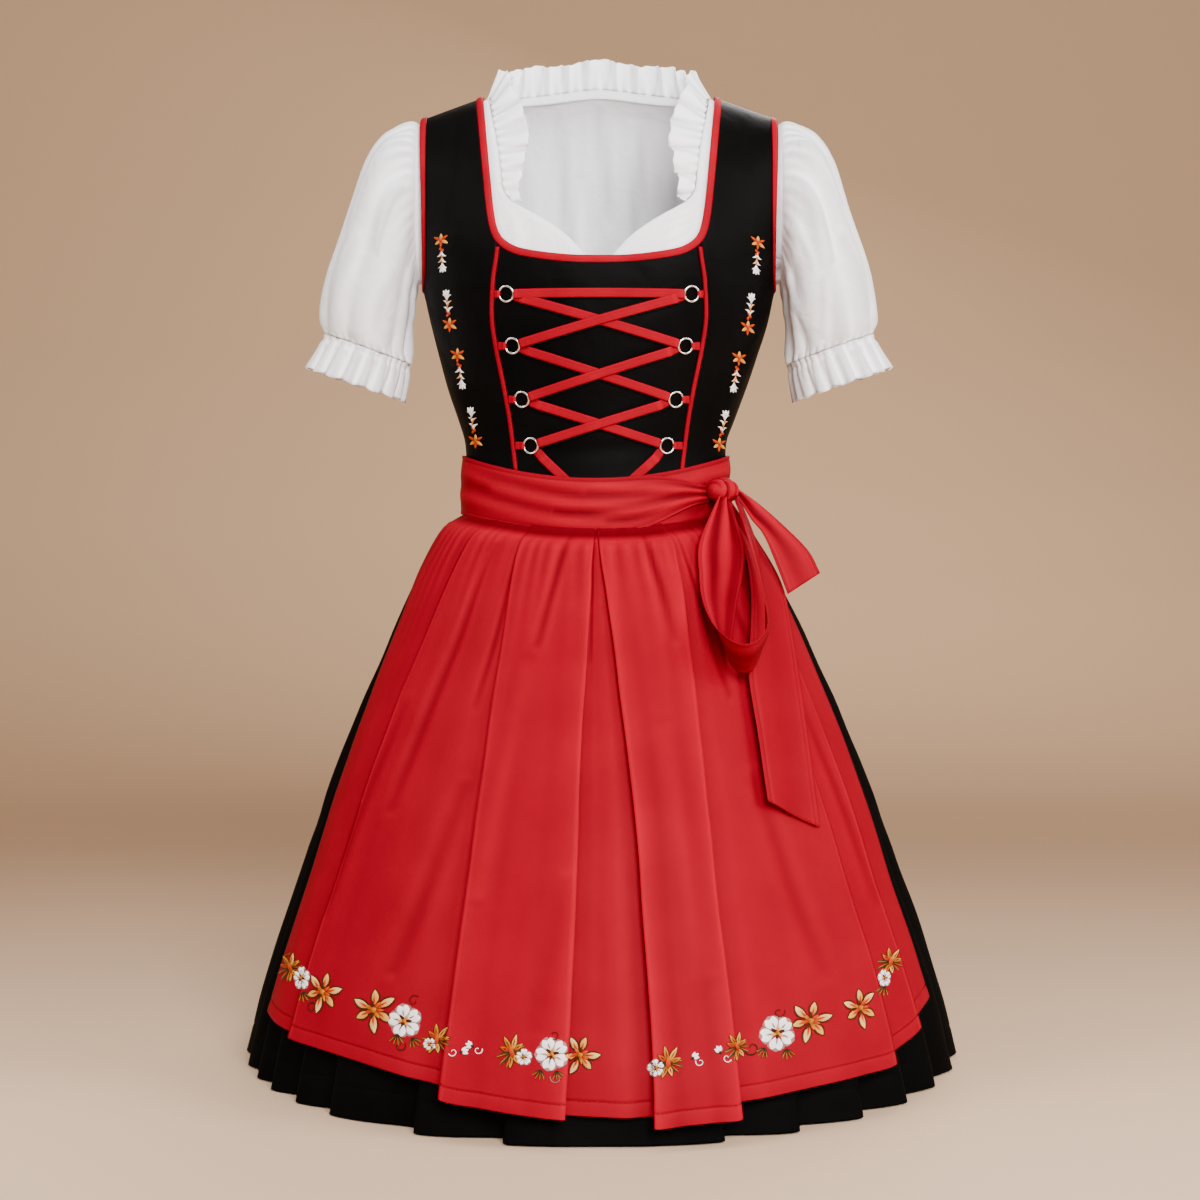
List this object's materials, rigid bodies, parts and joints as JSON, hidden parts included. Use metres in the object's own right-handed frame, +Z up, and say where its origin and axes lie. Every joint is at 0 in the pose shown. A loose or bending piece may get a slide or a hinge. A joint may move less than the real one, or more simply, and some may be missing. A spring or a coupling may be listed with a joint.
{
  "type": "dirndl dress with blouse and apron",
  "caption": "Folk costume dress with laced bodice, pleated skirt, apron tied at one side and blouse with puff sleeves and gathered collar.",
  "frame": {"origin": "midway between the shoulders, at the height of the straps that carry the set", "axes": "+Z up, the front faces -Y, +X to the right of someone who looks at the front"},
  "size_m": [0.6874, 0.7104, 0.9747],
  "materials": {
    "black_cotton": "closely woven cotton with a slight sheen",
    "red_satin": "smooth cotton satin",
    "red_ribbon": "matte woven ribbon and piping",
    "white_cotton": "thin matte cotton",
    "steel": "bright wire"
  },
  "bodies": {
    "root": {"bodice_center_front": "black_cotton", "bodice_side_front_right": "black_cotton", "bodice_side_front_left": "black_cotton", "bodice_back_right": "black_cotton", "bodice_back_left": "black_cotton", "binding_neck_front": "red_ribbon", "binding_neck_back": "red_ribbon", "binding_armhole_front_right": "red_ribbon", "binding_armhole_front_left": "red_ribbon", "binding_armhole_back_right": "red_ribbon", "binding_armhole_back_left": "red_ribbon", "panel_cord_right": "red_ribbon", "panel_cord_left": "red_ribbon", "ring_left_1": "steel", "tab_left_1": "red_ribbon", "ring_right_1": "steel", "tab_right_1": "red_ribbon", "ring_left_2": "steel", "tab_left_2": "red_ribbon", "ring_right_2": "steel", "tab_right_2": "red_ribbon", "ring_left_3": "steel", "tab_left_3": "red_ribbon", "ring_right_3": "steel", "tab_right_3": "red_ribbon", "ring_left_4": "steel", "tab_left_4": "red_ribbon", "ring_right_4": "steel", "tab_right_4": "red_ribbon", "lace_top": "red_ribbon", "lace_left_1": "red_ribbon", "lace_right_1": "red_ribbon", "lace_left_2": "red_ribbon", "lace_right_2": "red_ribbon", "lace_left_3": "red_ribbon", "lace_right_3": "red_ribbon", "lace_left_4": "red_ribbon", "lace_right_4": "red_ribbon", "skirt_front": "black_cotton", "skirt_right": "black_cotton", "skirt_back": "black_cotton", "skirt_left": "black_cotton", "apron_panel": "red_satin", "apron_sash": "red_satin", "bow_knot": "red_satin", "bow_loop": "red_satin", "bow_short_end": "red_satin", "bow_long_end": "red_satin", "blouse_front_right": "white_cotton", "blouse_front_left": "white_cotton", "blouse_back": "white_cotton", "blouse_neckband": "white_cotton", "blouse_collar": "white_cotton", "sleeve_right": "white_cotton", "sleeve_left": "white_cotton", "cuff_right": "white_cotton", "cuff_left": "white_cotton"}
  },
  "joints": []
}
